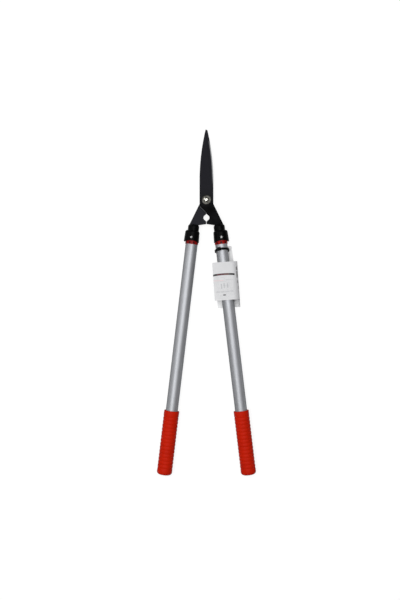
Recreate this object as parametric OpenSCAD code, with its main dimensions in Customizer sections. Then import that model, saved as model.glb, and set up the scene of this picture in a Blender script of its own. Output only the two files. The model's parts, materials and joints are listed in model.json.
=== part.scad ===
// Hedge shears, closed and lying flat: two lapped forged halves on one pivot bolt, each with a
// socket, a tube handle and a ribbed grip, and a card tag tied to the right handle.
// Millimetres. +X is right, +Y runs towards the blade tip and +Z up along the pivot.
// The origin is under the middle of the outline, on the surface that the shears lie on.
// A half is drawn about the pivot as the right one. The left one is the same shape turned over.

/* [Blades] */
// Length from the pivot to the blade tip
blade_reach = 163; // [140:1:200]
// Width of a blade beside the pivot
blade_w = 32; // [29:0.5:38]
// Thickness of a blade
blade_t = 4.5; // [3.5:0.1:6]
// Gap between the two lapped plates, which the spacer washer fills
blade_gap = 0.4; // [0.3:0.1:0.8]
// Distance from the pivot to where a blade starts to narrow
taper_start = 44; // [38:1:60]
// Width of the blunt tip
tip_w = 4; // [2:0.5:8]
// Width of the ground bevel
bevel_w = 3.6; // [2:0.1:6]
// Thickness left at the cutting edge
edge_t = 0.8; // [0.4:0.1:1.5]
// Distance from the pivot to where the bevel starts
bevel_start = 34; // [24:1:37]
// Length over which the bevel runs out towards the pivot
runout_len = 12; // [6:0.5:20]

/* [Arms] */
// Distance from the pivot down to where an arm leaves the side of the blade
shoulder_drop = 9.5; // [6:0.5:13]
// Reach of the round lap of the plates from the pivot
lap_r = 22.8; // [21.5:0.1:23.2]
// Room between a lap and the thick part of the other arm
lap_room = 1; // [0.8:0.1:2]
// Distance from the pivot down to the middle of the hole between the arms
notch_drop = 41.5; // [40.5:0.5:44]
// Radius of the hole's round sides between the arms
notch_r = 7; // [6:0.1:7.8]
// Distance from the pivot down to the foot of the stops
stop_drop = 56; // [54:0.5:58]
// Gap between the two stops when closed
stop_gap = 0.9; // [0.6:0.1:2]
// Depth of an arm past the plane between the plates
arm_sink = 3; // [2:0.1:4]
// Width of an arm where it meets its socket
arm_foot_w = 20; // [18.5:0.5:25]
// Width of a tang
tang_w = 16; // [12:0.5:18]
// Thickness of a tang
tang_t = 5.1; // [4.1:0.5:8.1]
// Length of a tang below the top of its socket
tang_len = 40; // [36:1:60]

/* [Pivot] */
// Diameter of the pivot bolt
bolt_d = 8; // [6:0.5:10]
// Width across the flats of the bolt head and the nut
hex_af = 13; // [11:0.5:16]
// Height of the bolt head
head_h = 5.3; // [4:0.1:7]
// Height of the lock nut
nut_h = 7.5; // [7:0.1:8.5]
// Height of the lock nut's hexagon
nut_hex_h = 5.5; // [4:0.1:5.8]
// Diameter of the lock nut's collar
nut_collar_d = 12.4; // [11:0.1:13.5]
// Wall of the lock nut's collar
nut_collar_wall = 1.2; // [0.6:0.1:1.3]
// Thickness of the lip that holds the nut's insert
nut_lip = 0.6; // [0.4:0.1:0.8]
// Length of bolt that stands out of the nut
bolt_proud = 1; // [0.5:0.1:2]
// Diameter of the front, spacer and rear washers
washer_d = 22; // [19:0.5:28]
// Thickness of the front and rear washers
washer_t = 2; // [1:0.1:2.5]
// Wall of the pivot bush
bush_wall = 1.5; // [1:0.1:2.5]

/* [Handles] */
// Angle of each handle to the centre line
handle_tilt = 6.8; // [5:0.1:10]
// Distance of each handle's axis from the centre line, level with the pivot
handle_offset = 22.2; // [20:0.1:26]
// Outside diameter of a tube
tube_d = 28; // [25:0.5:29.5]
// Wall of a tube
tube_wall = 1.5; // [1:0.1:2.5]
// Length of the plug that holds a tang in its tube
plug_len = 30; // [26:1:50]

/* [Sockets] */
// Distance along a handle from the pivot's level to the top of the socket
socket_start = 58; // [57:0.5:70]
// Diameter of a socket's collar
collar_d = 26; // [24:0.5:30]
// Length of a socket's collar
collar_len = 14; // [10:0.5:20]
// Rounding of the collar's top edge
collar_round = 4.8; // [0.5:0.1:5]
// Diameter of a socket's skirt at its rim
skirt_d = 35.5; // [34:0.5:40]
// Difference in diameter between the skirt's rim and its shoulder
skirt_taper = 2; // [0.5:0.1:2.4]
// Length of a socket's skirt
skirt_len = 27; // [22:0.5:36]
// Rounding of the skirt's shoulder
shoulder_round = 4.6; // [1:0.1:5]
// Rounding of the skirt's rim
rim_round = 1; // [0.5:0.1:1.5]
// Height of the arch in the skirt's rim, at the front and at the back
rim_arch = 3.3; // [1:0.1:4]
// Distance that the skirt stands outward of the tube's axis
skirt_shift = 1.4; // [0:0.1:1.4]
// Thickness of the shelf that the tube's end seats on
shelf_t = 2.5; // [1.5:0.1:4]

/* [Sleeves] */
// Wall of a sleeve
sleeve_wall = 0.95; // [0.8:0.05:1.2]
// Length of a sleeve inside its socket
sleeve_depth = 5.5; // [3:0.5:8]
// Length of a sleeve that shows below the sides of its socket
sleeve_show = 5; // [4.5:0.5:14]
// Number of notches around a sleeve
sleeve_notches = 9; // [6:1:12]
// Width of a notch
sleeve_notch_w = 4; // [2:0.5:5]
// Length of a notch
sleeve_notch_len = 4.6; // [2:0.2:4.8]
// Depth of a notch
sleeve_notch_depth = 0.6; // [0.3:0.05:0.7]

/* [Rivets] */
// Diameter of a rivet
rivet_d = 4; // [3:0.5:4.5]
// Diameter of a rivet's head
rivet_head_d = 5.2; // [5:0.2:9]
// Height of a rivet's head
rivet_head_h = 1; // [0.6:0.1:1.4]
// Room around a rivet's head in its recess
rivet_room = 1; // [0.5:0.1:2]
// Distance from the skirt's rim up to the rivet
rivet_up = 10.8; // [10:0.2:14]
// Distance of the rivet outward of the tube's axis
rivet_side = 2.2; // [0:0.1:3]

/* [Grips] */
// Distance along a handle from the pivot's level to the grip
grip_start = 493.5; // [420:0.5:600]
// Length of a grip
grip_len = 149.5; // [110:0.5:200]
// Diameter of a grip
grip_d = 35.5; // [33:0.5:40]
// Thickness of a grip's closed end
grip_end_t = 5; // [3:0.5:10]
// Rounding of a grip's closed end
grip_end_r = 7; // [2:0.5:9]
// Rounding of a grip's open end
grip_lip_r = 1.2; // [0.5:0.1:2]
// Length of the plain cuff above the first groove
cuff_len = 14.5; // [8:0.5:30]
// Distance from one groove to the next
groove_pitch = 8.5; // [6:0.1:14]
// Width of a groove
groove_w = 3.6; // [2:0.2:5]
// Depth of a groove
groove_depth = 0.9; // [0.4:0.1:1.5]

/* [Tie and tag] */
// Distance along the right handle from the pivot's level to the cable tie
tie_at = 118.5; // [112:0.5:125]
// Width of the cable tie's strap
tie_w = 5; // [2.5:0.1:6]
// Thickness of the cable tie's strap
tie_t = 1.2; // [0.8:0.1:1.6]
// Width of the cable tie's lock head, along the tube
tie_head_w = 7.6; // [6.5:0.1:10]
// Length of the cable tie's lock head, around the tube
tie_head_len = 8.4; // [6:0.1:12]
// Height of the cable tie's lock head
tie_head_h = 4.6; // [3:0.1:6]
// Place of the lock head around the tube, from the right-hand side over the front
tie_head_turn = 112; // [100:1:150]
// Tilt of the cable tie, which hangs loose with its front towards the blades
tie_tilt = 12; // [0:1:14]
// Thickness of the tag's card
card_t = 0.6; // [0.4:0.1:1]
// Distance along the right handle from the pivot's level to the top of the tag's front leaf
tag_at = 146; // [142:1:220]
// Length of the tag's front leaf
tag_len = 88.2; // [60:0.2:120]
// Distance from the tube's axis to the left edge of the front leaf
tag_left = 28.6; // [20:0.2:40]
// Distance from the tube's axis to the fold at the right
tag_right = 30; // [29:0.2:40]
// Distance from the tube's axis to the left edge of the rear leaf
rear_left = 22.2; // [18:0.2:36]
// Length of the rear leaf past the foot of the front leaf
rear_foot = 18; // [4:0.2:30]
// Length of the rear leaf's tab above the front leaf
tab_len = 37.4; // [36:0.2:41.4]
// Distance from the tube's axis to the right edge of the tab
tab_right = 22.4; // [16:0.2:28]
// Distance from the tube's axis to the left edge of the tab
tab_left = 13.4; // [13:0.2:15]
// Turn of the tag on the tube
tag_turn = 2.8; // [0:0.1:3]

/* [Fits] */
// Radial clearance of the bush on the bolt
run_clear = 0.05; // [0.02:0.01:0.09]
// Clearance between pieces that are seated in each other
seat_clear = 0.05; // [0.02:0.01:0.1]
// Clearance of the tie and the card around the tube
loose_clear = 0.3; // [0.1:0.05:0.6]

/* [Hidden] */
$fn = 96;

// Overshoot that lets a cut pass clean through a face
over = 1;

// The two plates
half_w = blade_w / 2;
plate_low = blade_gap / 2;
plate_top = plate_low + blade_t;
side_fall = half_w - tip_w / 2;
side_rise = blade_reach - taper_start;
// Radius of the blade's sides, to a hundredth, so that they meet the straight part below cleanly
side_r = round(50 * (side_rise * side_rise + side_fall * side_fall) / side_fall) / 100;
side_turn = asin(side_rise / side_r);
bevel_slope = (blade_t - edge_t) / bevel_w;
runout_turn = asin((taper_start - bevel_start + runout_len + over) / side_r);
// The lap's edges cross the centre line at this angle
lap_turn = 45;
lap_reach = lap_r / cos(lap_turn);
// Where the hole's straight sides leave its round. They run a little inside it, to cross it cleanly
notch_bite = notch_r / 15;
notch_side = notch_r * sin(lap_turn);
notch_rise = notch_r * cos(lap_turn) - notch_bite;
notch_foot = notch_drop + notch_rise + notch_side - stop_gap / 2;

// The pivot
bush_d = bolt_d + 2 * run_clear + 2 * bush_wall;
head_top = plate_top + washer_t + head_h;
nut_foot = plate_top + washer_t + nut_h;
bolt_foot = nut_foot + bolt_proud;
hex_r = hex_af / (2 * cos(30));
insert_r = nut_collar_d / 2 - nut_collar_wall;
insert_h = nut_h - nut_hex_h - nut_lip;

// Stations along a handle, from the pivot's level
skirt_start = socket_start + collar_len;
tube_start = skirt_start + shelf_t;
rim = skirt_start + skirt_len;
rivet_at = rim - rivet_up;
grip_end = grip_start + grip_len;
tube_end = grip_end - grip_end_t;
// Size of a cut that takes away everything on one side of a plane
far = blade_reach + grip_end;

// Radii around a handle's axis
tube_r = tube_d / 2;
rim_r = skirt_d / 2;
skirt_top_r = (skirt_d - skirt_taper) / 2;
grip_r = grip_d / 2;
sleeve_r = tube_r + seat_clear + sleeve_wall;
skirt_r_at_rivet = rim_r - skirt_taper / 2 * rivet_up / skirt_len;
// The arch in a skirt's rim springs from inside the rim's rounding
arch_half = rim_r - 2 * rim_round;
arch_r = (arch_half * arch_half + rim_arch * rim_arch) / (2 * rim_arch);
rivet_seat = skirt_r_at_rivet - rivet_head_h;
groove_count = floor((grip_len - cuff_len - grip_end_r - groove_w) / groove_pitch) + 1;

// The card lies flat against the tube in front and behind, and folds round it at the right
card_in = tube_r + loose_clear;
card_out = card_in + card_t;
fold_x = tag_right - card_out;
// How far the strap's edges lean in and out, and the radius at which they still clear the card
tie_lean = tie_w / 2 * sin(tie_tilt);
tie_in = (card_out + loose_clear + tie_lean) / cos(tie_tilt);
tie_out = tie_in + tie_t;
tie_reach = tie_out * cos(tie_tilt) + tie_lean;
// The strap passes through the card's tab between these distances from the tube's middle
slit_in = sqrt(pow(tie_in, 2) - pow((card_out + tie_lean) / cos(tie_tilt), 2)) - loose_clear;
slit_out = sqrt(pow(tie_out, 2) - pow((card_in - tie_lean) / cos(tie_tilt), 2)) + loose_clear;
slit_at = tie_at + (card_in + card_out) / 2 * tan(tie_tilt);
slit_h = tie_w / cos(tie_tilt) + card_t * tan(tie_tilt) + 2 * loose_clear;

// The handles' axes lie at this height, so that the lowest face touches the surface
axis_z = max(rim_r, grip_r, bolt_foot, tie_reach);
// The lowest point of a grip's rounded end, seen from above
grip_low = (grip_end - grip_end_r) * cos(handle_tilt) + (grip_r - grip_end_r) * sin(handle_tilt)
    + grip_end_r;
// The pivot lies here, so that the outline is centred on the origin
pivot_y = (grip_low - blade_reach) / 2;

// Places the right half
module on_right() {
    translate([0, pivot_y, axis_z]) children();
}

// Places the left half, which is the right one turned over about the centre line
module on_left() {
    translate([0, pivot_y, axis_z]) rotate([0, 180, 0]) children();
}

// Turns +Z down along the handle, +Y to the front and +X outward
module on_handle() {
    translate([handle_offset, 0, 0]) rotate([0, 0, handle_tilt]) rotate([90, 0, 0]) children();
}

// A point of the plates' plane, from its place across and along the handle
function off_handle(across, along) = [
    handle_offset + across * cos(handle_tilt) + along * sin(handle_tilt),
    across * sin(handle_tilt) - along * cos(handle_tilt)
];

// Points of a round corner about a centre, from one angle to another
function corner(x, y, r, from, to, steps = 6) = [
    for (i = [0 : steps])
        let (a = from + (to - from) * i / steps)
        [x + r * cos(a), y + r * sin(a)]
];

module ring(outer_r, inner_r, h) {
    difference() {
        cylinder(r = outer_r, h = h);
        translate([0, 0, -over]) cylinder(r = inner_r, h = h + 2 * over);
    }
}

// The arm's outline, from the point of the hole round to the shoulder
arm_points = [
    [0, -lap_reach],
    [notch_side, notch_rise - notch_drop],
    [notch_side, -notch_rise - notch_drop],
    [stop_gap / 2, -notch_foot],
    [stop_gap / 2, -stop_drop],
    off_handle(-arm_foot_w / 2, socket_start),
    off_handle(arm_foot_w / 2, socket_start),
    [half_w, -shoulder_drop]
];

module notch_round() {
    translate([0, -notch_drop]) circle(r = notch_r);
}

module arm_outline() {
    difference() {
        polygon(concat(arm_points, [[0, 0]]));
        notch_round();
    }
}

module leaf_outline() {
    intersection() {
        translate([half_w - side_r, taper_start]) circle(r = side_r);
        translate([side_r - half_w, taper_start]) circle(r = side_r);
        translate([-half_w, taper_start]) square([blade_w, side_rise]);
    }
}

module plate_outline() {
    difference() {
        polygon(concat(
            arm_points,
            [[half_w, taper_start], [-half_w, taper_start], [-half_w, half_w * tan(lap_turn) - lap_reach]]
        ));
        notch_round();
    }
    leaf_outline();
}

// The bevel follows the round of the blade's side, and ramps out of it above the pivot
module bevel_cut() {
    difference() {
        translate([half_w - side_r, taper_start, 0]) rotate([0, 0, -runout_turn])
            rotate_extrude(angle = runout_turn + side_turn + over) polygon([
                [side_r - bevel_w - over / bevel_slope, plate_top + over],
                [side_r + over, plate_top + over],
                [side_r + over, plate_low + edge_t - over * bevel_slope]
            ]);
        translate([0, bevel_start, plate_low + edge_t])
            rotate([-atan((blade_t - edge_t) / runout_len), 0, 0])
            translate([-far / 2, -far / 2, -far]) cube(far);
    }
}

// Everything on the pivot's side of the arm, below the plate
module lap_cut() {
    rotate([0, 0, -lap_turn])
        translate([lap_r + lap_room - far, -far / 2, -arm_sink - over])
        cube([far, far, arm_sink + over + plate_low]);
}

module tang() {
    on_handle()
        translate([-tang_w / 2, -tang_t / 2, socket_start - over])
        cube([tang_w, tang_t, tang_len + over]);
}

module rivet_bore() {
    on_handle()
        translate([rivet_side, rim_r + over, rivet_at]) rotate([90, 0, 0])
        cylinder(r = rivet_d / 2 + seat_clear, h = 2 * (rim_r + over));
}

module tang_slot() {
    on_handle()
        translate([-tang_w / 2 - seat_clear, -tang_t / 2 - seat_clear, socket_start - over])
        cube([tang_w + 2 * seat_clear, tang_t + 2 * seat_clear, far]);
}

// One forging: blade, lapped plate, arm and tang
module half(bore_r) {
    difference() {
        union() {
            translate([0, 0, plate_low]) linear_extrude(blade_t) plate_outline();
            difference() {
                translate([0, 0, -arm_sink]) linear_extrude(arm_sink + plate_top) arm_outline();
                lap_cut();
            }
            tang();
        }
        translate([0, 0, -far / 2]) cylinder(r = bore_r, h = far);
        bevel_cut();
        rivet_bore();
    }
}

module socket_body() {
    collar_r = collar_d / 2;
    rotate_extrude() polygon(concat(
        [[0, socket_start]],
        corner(collar_r - collar_round, socket_start + collar_round, collar_round, -90, 0),
        [[collar_r, tube_start + over], [0, tube_start + over]]
    ));
    translate([skirt_shift, 0, 0]) rotate_extrude() polygon(concat(
        [[0, skirt_start]],
        corner(skirt_top_r - shoulder_round, skirt_start + shoulder_round, shoulder_round, -90, 0),
        corner(rim_r - rim_round, rim - rim_round, rim_round, 0, 90),
        [[0, rim]]
    ));
}

module rim_arch_cut() {
    translate([skirt_shift, rim_r + over, rim - rim_arch + arch_r]) rotate([90, 0, 0])
        cylinder(r = arch_r, h = 2 * (rim_r + over));
}

module rivet_recess(side) {
    translate([rivet_side, side * rivet_seat, rivet_at]) rotate([-90 * side, 0, 0])
        cylinder(r = rivet_head_d / 2 + rivet_room, h = rim_r);
}

module socket() {
    difference() {
        on_handle() difference() {
            socket_body();
            translate([0, 0, tube_start]) cylinder(r = tube_r + seat_clear, h = far);
            translate([0, 0, rim - sleeve_depth]) cylinder(r = sleeve_r + seat_clear, h = far);
            for (side = [-1, 1]) rivet_recess(side);
            rim_arch_cut();
        }
        tang_slot();
        rivet_bore();
    }
}

module sleeve() {
    difference() {
        on_handle() difference() {
            translate([0, 0, rim - sleeve_depth])
                ring(sleeve_r, tube_r + seat_clear, sleeve_depth + sleeve_show);
            for (i = [0 : sleeve_notches - 1])
                rotate([0, 0, 90 + i * 360 / sleeve_notches])
                    translate([sleeve_r - sleeve_notch_depth, -sleeve_notch_w / 2,
                        rim + sleeve_show - over - sleeve_notch_len])
                    cube([over + sleeve_notch_depth, sleeve_notch_w, sleeve_notch_len]);
        }
        rivet_bore();
    }
}

module tang_plug() {
    difference() {
        on_handle() translate([0, 0, tube_start])
            cylinder(r = tube_r - tube_wall - seat_clear, h = plug_len);
        tang_slot();
        rivet_bore();
    }
}

module rivet() {
    dome_r = (rivet_head_d * rivet_head_d / 4 + rivet_head_h * rivet_head_h) / (2 * rivet_head_h);
    on_handle() translate([rivet_side, 0, rivet_at]) rotate([90, 0, 0]) {
        translate([0, 0, -rivet_seat]) cylinder(d = rivet_d, h = 2 * rivet_seat);
        for (side = [0, 180]) rotate([side, 0, 0]) intersection() {
            translate([0, 0, rivet_seat + rivet_head_h - dome_r]) sphere(r = dome_r);
            translate([0, 0, rivet_seat]) cylinder(d = rivet_head_d + over, h = rivet_head_h + over);
        }
    }
}

module tube() {
    difference() {
        on_handle() translate([0, 0, tube_start])
            ring(tube_r, tube_r - tube_wall, tube_end - tube_start);
        rivet_bore();
    }
}

// One groove's points: its foot is a third of the width of its mouth
function groove(at) = [
    [grip_r, at - groove_w / 2],
    [grip_r - groove_depth, at - groove_w / 6],
    [grip_r - groove_depth, at + groove_w / 6],
    [grip_r, at + groove_w / 2]
];

module grip() {
    first_groove = grip_start + cuff_len;
    on_handle() difference() {
        rotate_extrude() polygon(concat(
            [[0, grip_start]],
            corner(grip_r - grip_lip_r, grip_start + grip_lip_r, grip_lip_r, -90, 0),
            [for (i = [0 : groove_count - 1]) each groove(first_groove + i * groove_pitch)],
            corner(grip_r - grip_end_r, grip_end - grip_end_r, grip_end_r, 0, 90),
            [[0, grip_end]]
        ));
        translate([0, 0, grip_start - over])
            cylinder(r = tube_r + seat_clear, h = tube_end - grip_start + over);
    }
}

// A hexagon with its corners chamfered at the outer face
module hexagon(h) {
    chamfer_r = hex_af / 2;
    intersection() {
        cylinder(r = hex_r, h = h, $fn = 6);
        cylinder(r1 = chamfer_r + h, r2 = chamfer_r, h = h);
    }
}

// Strap, with the lock head on it
module tie_shape() {
    translate([0, 0, -tie_w / 2]) ring(tie_out, tie_in, tie_w);
    rotate([0, 0, tie_head_turn])
        translate([tie_in, -tie_head_len / 2, -tie_head_w / 2])
        cube([tie_head_h, tie_head_len, tie_head_w]);
}

// Section of the card across the tube
module card_section() {
    translate([-tag_left, card_in]) square([tag_left + fold_x, card_t]);
    translate([-rear_left, -card_out]) square([rear_left + fold_x, card_t]);
    translate([fold_x, 0]) intersection() {
        difference() {
            circle(r = card_out);
            circle(r = card_in);
        }
        translate([0, -card_out]) square([card_out, 2 * card_out]);
    }
}

module tag_shape() {
    difference() {
        translate([0, 0, tag_at]) linear_extrude(tag_len + rear_foot) card_section();
        translate([-far / 2, 0, tag_at + tag_len]) cube([far, far, far]);
    }
    translate([-tab_left, -card_out, tag_at - tab_len])
        cube([tab_left + tab_right, card_t, tab_len + over]);
}

module front_blade() {
    color("#26252b") on_right() half(bush_d / 2 + seat_clear);
}

module rear_blade() {
    color("#2e2d34") on_left() half(bolt_d / 2 + seat_clear);
}

module pivot_bolt() {
    color("#b9b8b2") on_right() {
        translate([0, 0, plate_top + washer_t]) hexagon(head_h);
        translate([0, 0, -bolt_foot]) cylinder(d = bolt_d, h = bolt_foot + head_top - over);
    }
}

module front_washer() {
    color("#8f8e88") on_right() translate([0, 0, plate_top])
        ring(washer_d / 2, bolt_d / 2 + seat_clear, washer_t);
}

module pivot_bush() {
    color("#b08d57") on_right() translate([0, 0, plate_low])
        ring(bush_d / 2, bolt_d / 2 + run_clear, blade_t);
}

module spacer_washer() {
    color("#c9c4b4") on_right() translate([0, 0, -plate_low])
        ring(washer_d / 2, bolt_d / 2 + seat_clear, blade_gap);
}

module rear_washer() {
    color("#8f8e88") on_right() translate([0, 0, -plate_top - washer_t])
        ring(washer_d / 2, bolt_d / 2 + seat_clear, washer_t);
}

module lock_nut() {
    color("#b9b8b2") on_left() translate([0, 0, plate_top + washer_t]) difference() {
        union() {
            hexagon(nut_hex_h);
            cylinder(d = nut_collar_d, h = nut_h);
        }
        translate([0, 0, -over]) cylinder(r = bolt_d / 2 + seat_clear, h = nut_h + 2 * over);
        translate([0, 0, nut_hex_h]) cylinder(r = insert_r + seat_clear, h = insert_h);
    }
}

module nut_insert() {
    color("#e6e4da") on_left() translate([0, 0, plate_top + washer_t + nut_hex_h])
        ring(insert_r, bolt_d / 2 + seat_clear, insert_h);
}

module left_socket() {
    color("#101012") on_left() socket();
}

module right_socket() {
    color("#101012") on_right() socket();
}

module left_sleeve() {
    color("#9a2222") on_left() sleeve();
}

module right_sleeve() {
    color("#9a2222") on_right() sleeve();
}

module left_tang_plug() {
    color("#d8d2c0") on_left() tang_plug();
}

module right_tang_plug() {
    color("#d8d2c0") on_right() tang_plug();
}

module left_rivet() {
    color("#d9d9d9") on_left() rivet();
}

module right_rivet() {
    color("#d9d9d9") on_right() rivet();
}

module left_tube() {
    color("#c9ced2") on_left() tube();
}

module right_tube() {
    color("#c9ced2") on_right() tube();
}

module left_grip() {
    color("#bc2818") on_left() grip();
}

module right_grip() {
    color("#bc2818") on_right() grip();
}

module cable_tie() {
    color("#0c0c0d") on_right() on_handle() translate([0, 0, tie_at]) rotate([-tie_tilt, 0, 0])
        difference() {
            tie_shape();
            translate([0, 0, -tie_head_w]) cylinder(r = tie_in, h = 2 * tie_head_w);
        }
}

// The card's tab has two slits for the strap
module hang_tag() {
    tag_middle = tag_at + tag_len / 2;
    color("#dfe2e1") on_right() on_handle() difference() {
        translate([0, 0, tag_middle]) rotate([0, -tag_turn, 0]) translate([0, 0, -tag_middle])
            tag_shape();
        for (side = [-1, 1])
            translate([side * (slit_in + slit_out) / 2, -(card_in + card_out) / 2, slit_at])
            cube([slit_out - slit_in, card_t + 2 * over, slit_h], center = true);
    }
}

front_blade();
rear_blade();
pivot_bolt();
front_washer();
pivot_bush();
spacer_washer();
rear_washer();
lock_nut();
nut_insert();
left_socket();
right_socket();
left_sleeve();
right_sleeve();
left_tang_plug();
right_tang_plug();
left_rivet();
right_rivet();
left_tube();
right_tube();
left_grip();
right_grip();
cable_tie();
hang_tag();
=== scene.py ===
# Hedge shears, closed and lying flat: the looks of every piece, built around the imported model
import bpy
import json
from math import cos, pi, radians, sin, sqrt, tau
from mathutils import Matrix, Vector

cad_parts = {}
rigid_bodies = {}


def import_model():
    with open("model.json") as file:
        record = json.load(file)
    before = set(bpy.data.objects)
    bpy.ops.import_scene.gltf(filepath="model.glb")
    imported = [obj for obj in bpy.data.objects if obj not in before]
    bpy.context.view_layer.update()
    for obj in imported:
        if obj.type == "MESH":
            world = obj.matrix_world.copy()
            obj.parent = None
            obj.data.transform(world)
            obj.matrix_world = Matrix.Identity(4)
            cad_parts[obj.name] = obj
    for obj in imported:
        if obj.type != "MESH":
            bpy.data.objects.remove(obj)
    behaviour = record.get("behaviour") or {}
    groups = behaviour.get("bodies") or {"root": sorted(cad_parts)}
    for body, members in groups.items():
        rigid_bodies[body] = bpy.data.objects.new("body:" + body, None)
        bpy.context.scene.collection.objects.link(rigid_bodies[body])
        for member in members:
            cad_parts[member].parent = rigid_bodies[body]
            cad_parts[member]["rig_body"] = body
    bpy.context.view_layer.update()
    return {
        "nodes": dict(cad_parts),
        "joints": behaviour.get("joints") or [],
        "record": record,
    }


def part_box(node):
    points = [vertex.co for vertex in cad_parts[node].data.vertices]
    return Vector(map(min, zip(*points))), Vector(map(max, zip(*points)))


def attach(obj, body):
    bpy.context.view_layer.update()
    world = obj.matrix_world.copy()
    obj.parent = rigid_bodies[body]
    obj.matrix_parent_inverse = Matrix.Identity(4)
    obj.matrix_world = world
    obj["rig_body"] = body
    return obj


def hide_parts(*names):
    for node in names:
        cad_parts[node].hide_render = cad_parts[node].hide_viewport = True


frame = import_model()
mm = 0.001
pivot = Vector(frame["joints"][0]["pos_m"])
print("frame loaded:", len(frame["nodes"]), "nodes")

# A handle's own axes: x outward, y to the front of its half, z down the tube from the pivot's level
gripMount = next(m for m in frame["record"]["mounts"] if m["name"] == "right_grip_end")
down = Vector(gripMount["axis"])
outward = Vector((-down.y, down.x, 0))
handleTop = Vector(gripMount["pos_m"])
handleTop += down * ((pivot.y - handleTop.y) / down.y)
rightHandle = Matrix.Translation(handleTop) @ Matrix((outward, (0, 0, 1), down)).transposed().to_4x4()
turnOver = Matrix.Translation(pivot) @ Matrix.Rotation(pi, 4, "Y") @ Matrix.Translation(-pivot)
leftHandle = turnOver @ rightHandle


# Modelling by hand, in small steps

def clearAll():
    if bpy.context.mode != "OBJECT":
        bpy.ops.object.mode_set(mode="OBJECT")
    bpy.ops.object.select_all(action="DESELECT")


def focus(piece):
    clearAll()
    piece.select_set(True)
    bpy.context.view_layer.objects.active = piece


def openEdit(piece, mode="VERT", pick="SELECT"):
    focus(piece)
    bpy.ops.object.mode_set(mode="EDIT")
    bpy.ops.mesh.select_mode(type=mode)
    bpy.ops.mesh.select_all(action=pick)


def closeEdit():
    bpy.ops.object.mode_set(mode="OBJECT")


def pickEdges(piece, test):
    openEdit(piece, "EDGE", "DESELECT")
    closeEdit()
    points = piece.data.vertices
    for edge in piece.data.edges:
        edge.select = test(points[edge.vertices[0]].co, points[edge.vertices[1]].co)
    bpy.ops.object.mode_set(mode="EDIT")


def pickFaces(piece, test):
    openEdit(piece, "FACE", "DESELECT")
    closeEdit()
    for face in piece.data.polygons:
        face.select = test(face.center, face.normal)
    bpy.ops.object.mode_set(mode="EDIT")


def modify(piece, kind, **settings):
    focus(piece)
    tool = piece.modifiers.new(kind.lower(), kind)
    for key, value in settings.items():
        setattr(tool, key, value)
    bpy.ops.object.modifier_apply(modifier=tool.name)


def carve(piece, cutter, operation="DIFFERENCE"):
    modify(piece, "BOOLEAN", object=cutter, operation=operation, solver="EXACT")
    bpy.data.objects.remove(cutter)


def mergeDoubles(piece):
    openEdit(piece)
    bpy.ops.mesh.remove_doubles(threshold=0.002 * mm)
    bpy.ops.mesh.normals_make_consistent(inside=False)
    closeEdit()


# One vertex, drawn out from point to point, and left open in edit mode
def drawLine(name, points):
    clearAll()
    bpy.ops.mesh.primitive_plane_add(size=mm)
    piece = bpy.context.object
    piece.name = name
    openEdit(piece)
    bpy.ops.mesh.merge(type="CENTER")
    bpy.ops.transform.translate(value=Vector(points[0]) * mm)
    for last, here in zip(points, points[1:]):
        step = (Vector(here) - Vector(last)) * mm
        bpy.ops.mesh.extrude_vertices_move(TRANSFORM_OT_translate={"value": step})
    return piece


# A line of (radius, height) points, spun round the z axis
def spinLine(name, profile, steps=96):
    piece = drawLine(name, [(r, 0, z) for r, z in profile])
    bpy.ops.mesh.select_all(action="SELECT")
    bpy.ops.mesh.spin(steps=steps, angle=tau, center=(0, 0, 0), axis=(0, 0, 1))
    mergeDoubles(piece)
    return piece


# Points of a round corner about (x, y)
def corner(x, y, r, start, end, steps=6):
    angles = [radians(start + (end - start) * i / steps) for i in range(steps + 1)]
    return [(x + r * cos(a), y + r * sin(a)) for a in angles]


# The solid's own shape, with its triangles merged into whole faces
def copyNode(name, node):
    piece = bpy.data.objects.new(name, frame["nodes"][node].data.copy())
    bpy.context.scene.collection.objects.link(piece)
    piece.data.materials.clear()
    focus(piece)
    bpy.ops.mesh.customdata_custom_splitnormals_clear()
    openEdit(piece)
    bpy.ops.mesh.remove_doubles(threshold=0.001 * mm)
    bpy.ops.mesh.dissolve_limited(angle_limit=radians(0.2))
    closeEdit()
    return piece


def roundEdges(piece, width, steps=2, sharp=30):
    modify(piece, "BEVEL", width=width * mm, segments=steps, limit_method="ANGLE",
           angle_limit=radians(sharp), use_clamp_overlap=True, harden_normals=True)


def place(piece, matrix):
    focus(piece)
    piece.matrix_world = matrix
    bpy.ops.object.transform_apply(location=True, rotation=True, scale=True)


def turnedCopy(piece, name):
    focus(piece)
    bpy.ops.object.duplicate(linked=False)
    other = bpy.context.object
    other.name = name
    place(other, turnOver)
    return other


def finishPiece(piece, node, material, angle=35):
    focus(piece)
    if angle:
        bpy.ops.object.shade_smooth_by_angle(angle=radians(angle))
    if not piece.data.materials:
        piece.data.materials.append(material)
    body = frame["nodes"][node]["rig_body"]
    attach(piece, body)
    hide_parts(node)


# Shader helpers

def fillInputs(tree, node, inputs):
    for key, value in inputs.items():
        if isinstance(value, bpy.types.NodeSocket):
            tree.links.new(value, node.inputs[key])
        else:
            node.inputs[key].default_value = value


def addNode(tree, kind, inputs=None, **settings):
    node = tree.nodes.new("ShaderNode" + kind)
    for key, value in settings.items():
        setattr(node, key, value)
    fillInputs(tree, node, inputs or {})
    return node


def calc(tree, operation, a, b=0.0, clamp=False):
    return addNode(tree, "Math", {0: a, 1: b}, operation=operation, use_clamp=clamp).outputs[0]


def spread(tree, value, low, high, toLow, toHigh):
    inputs = {"Value": value, "From Min": low, "From Max": high, "To Min": toLow, "To Max": toHigh}
    return addNode(tree, "MapRange", inputs).outputs["Result"]


def mixColour(tree, factor, a, b):
    return addNode(tree, "Mix", {0: factor, 6: a, 7: b}, data_type="RGBA").outputs[2]


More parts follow.
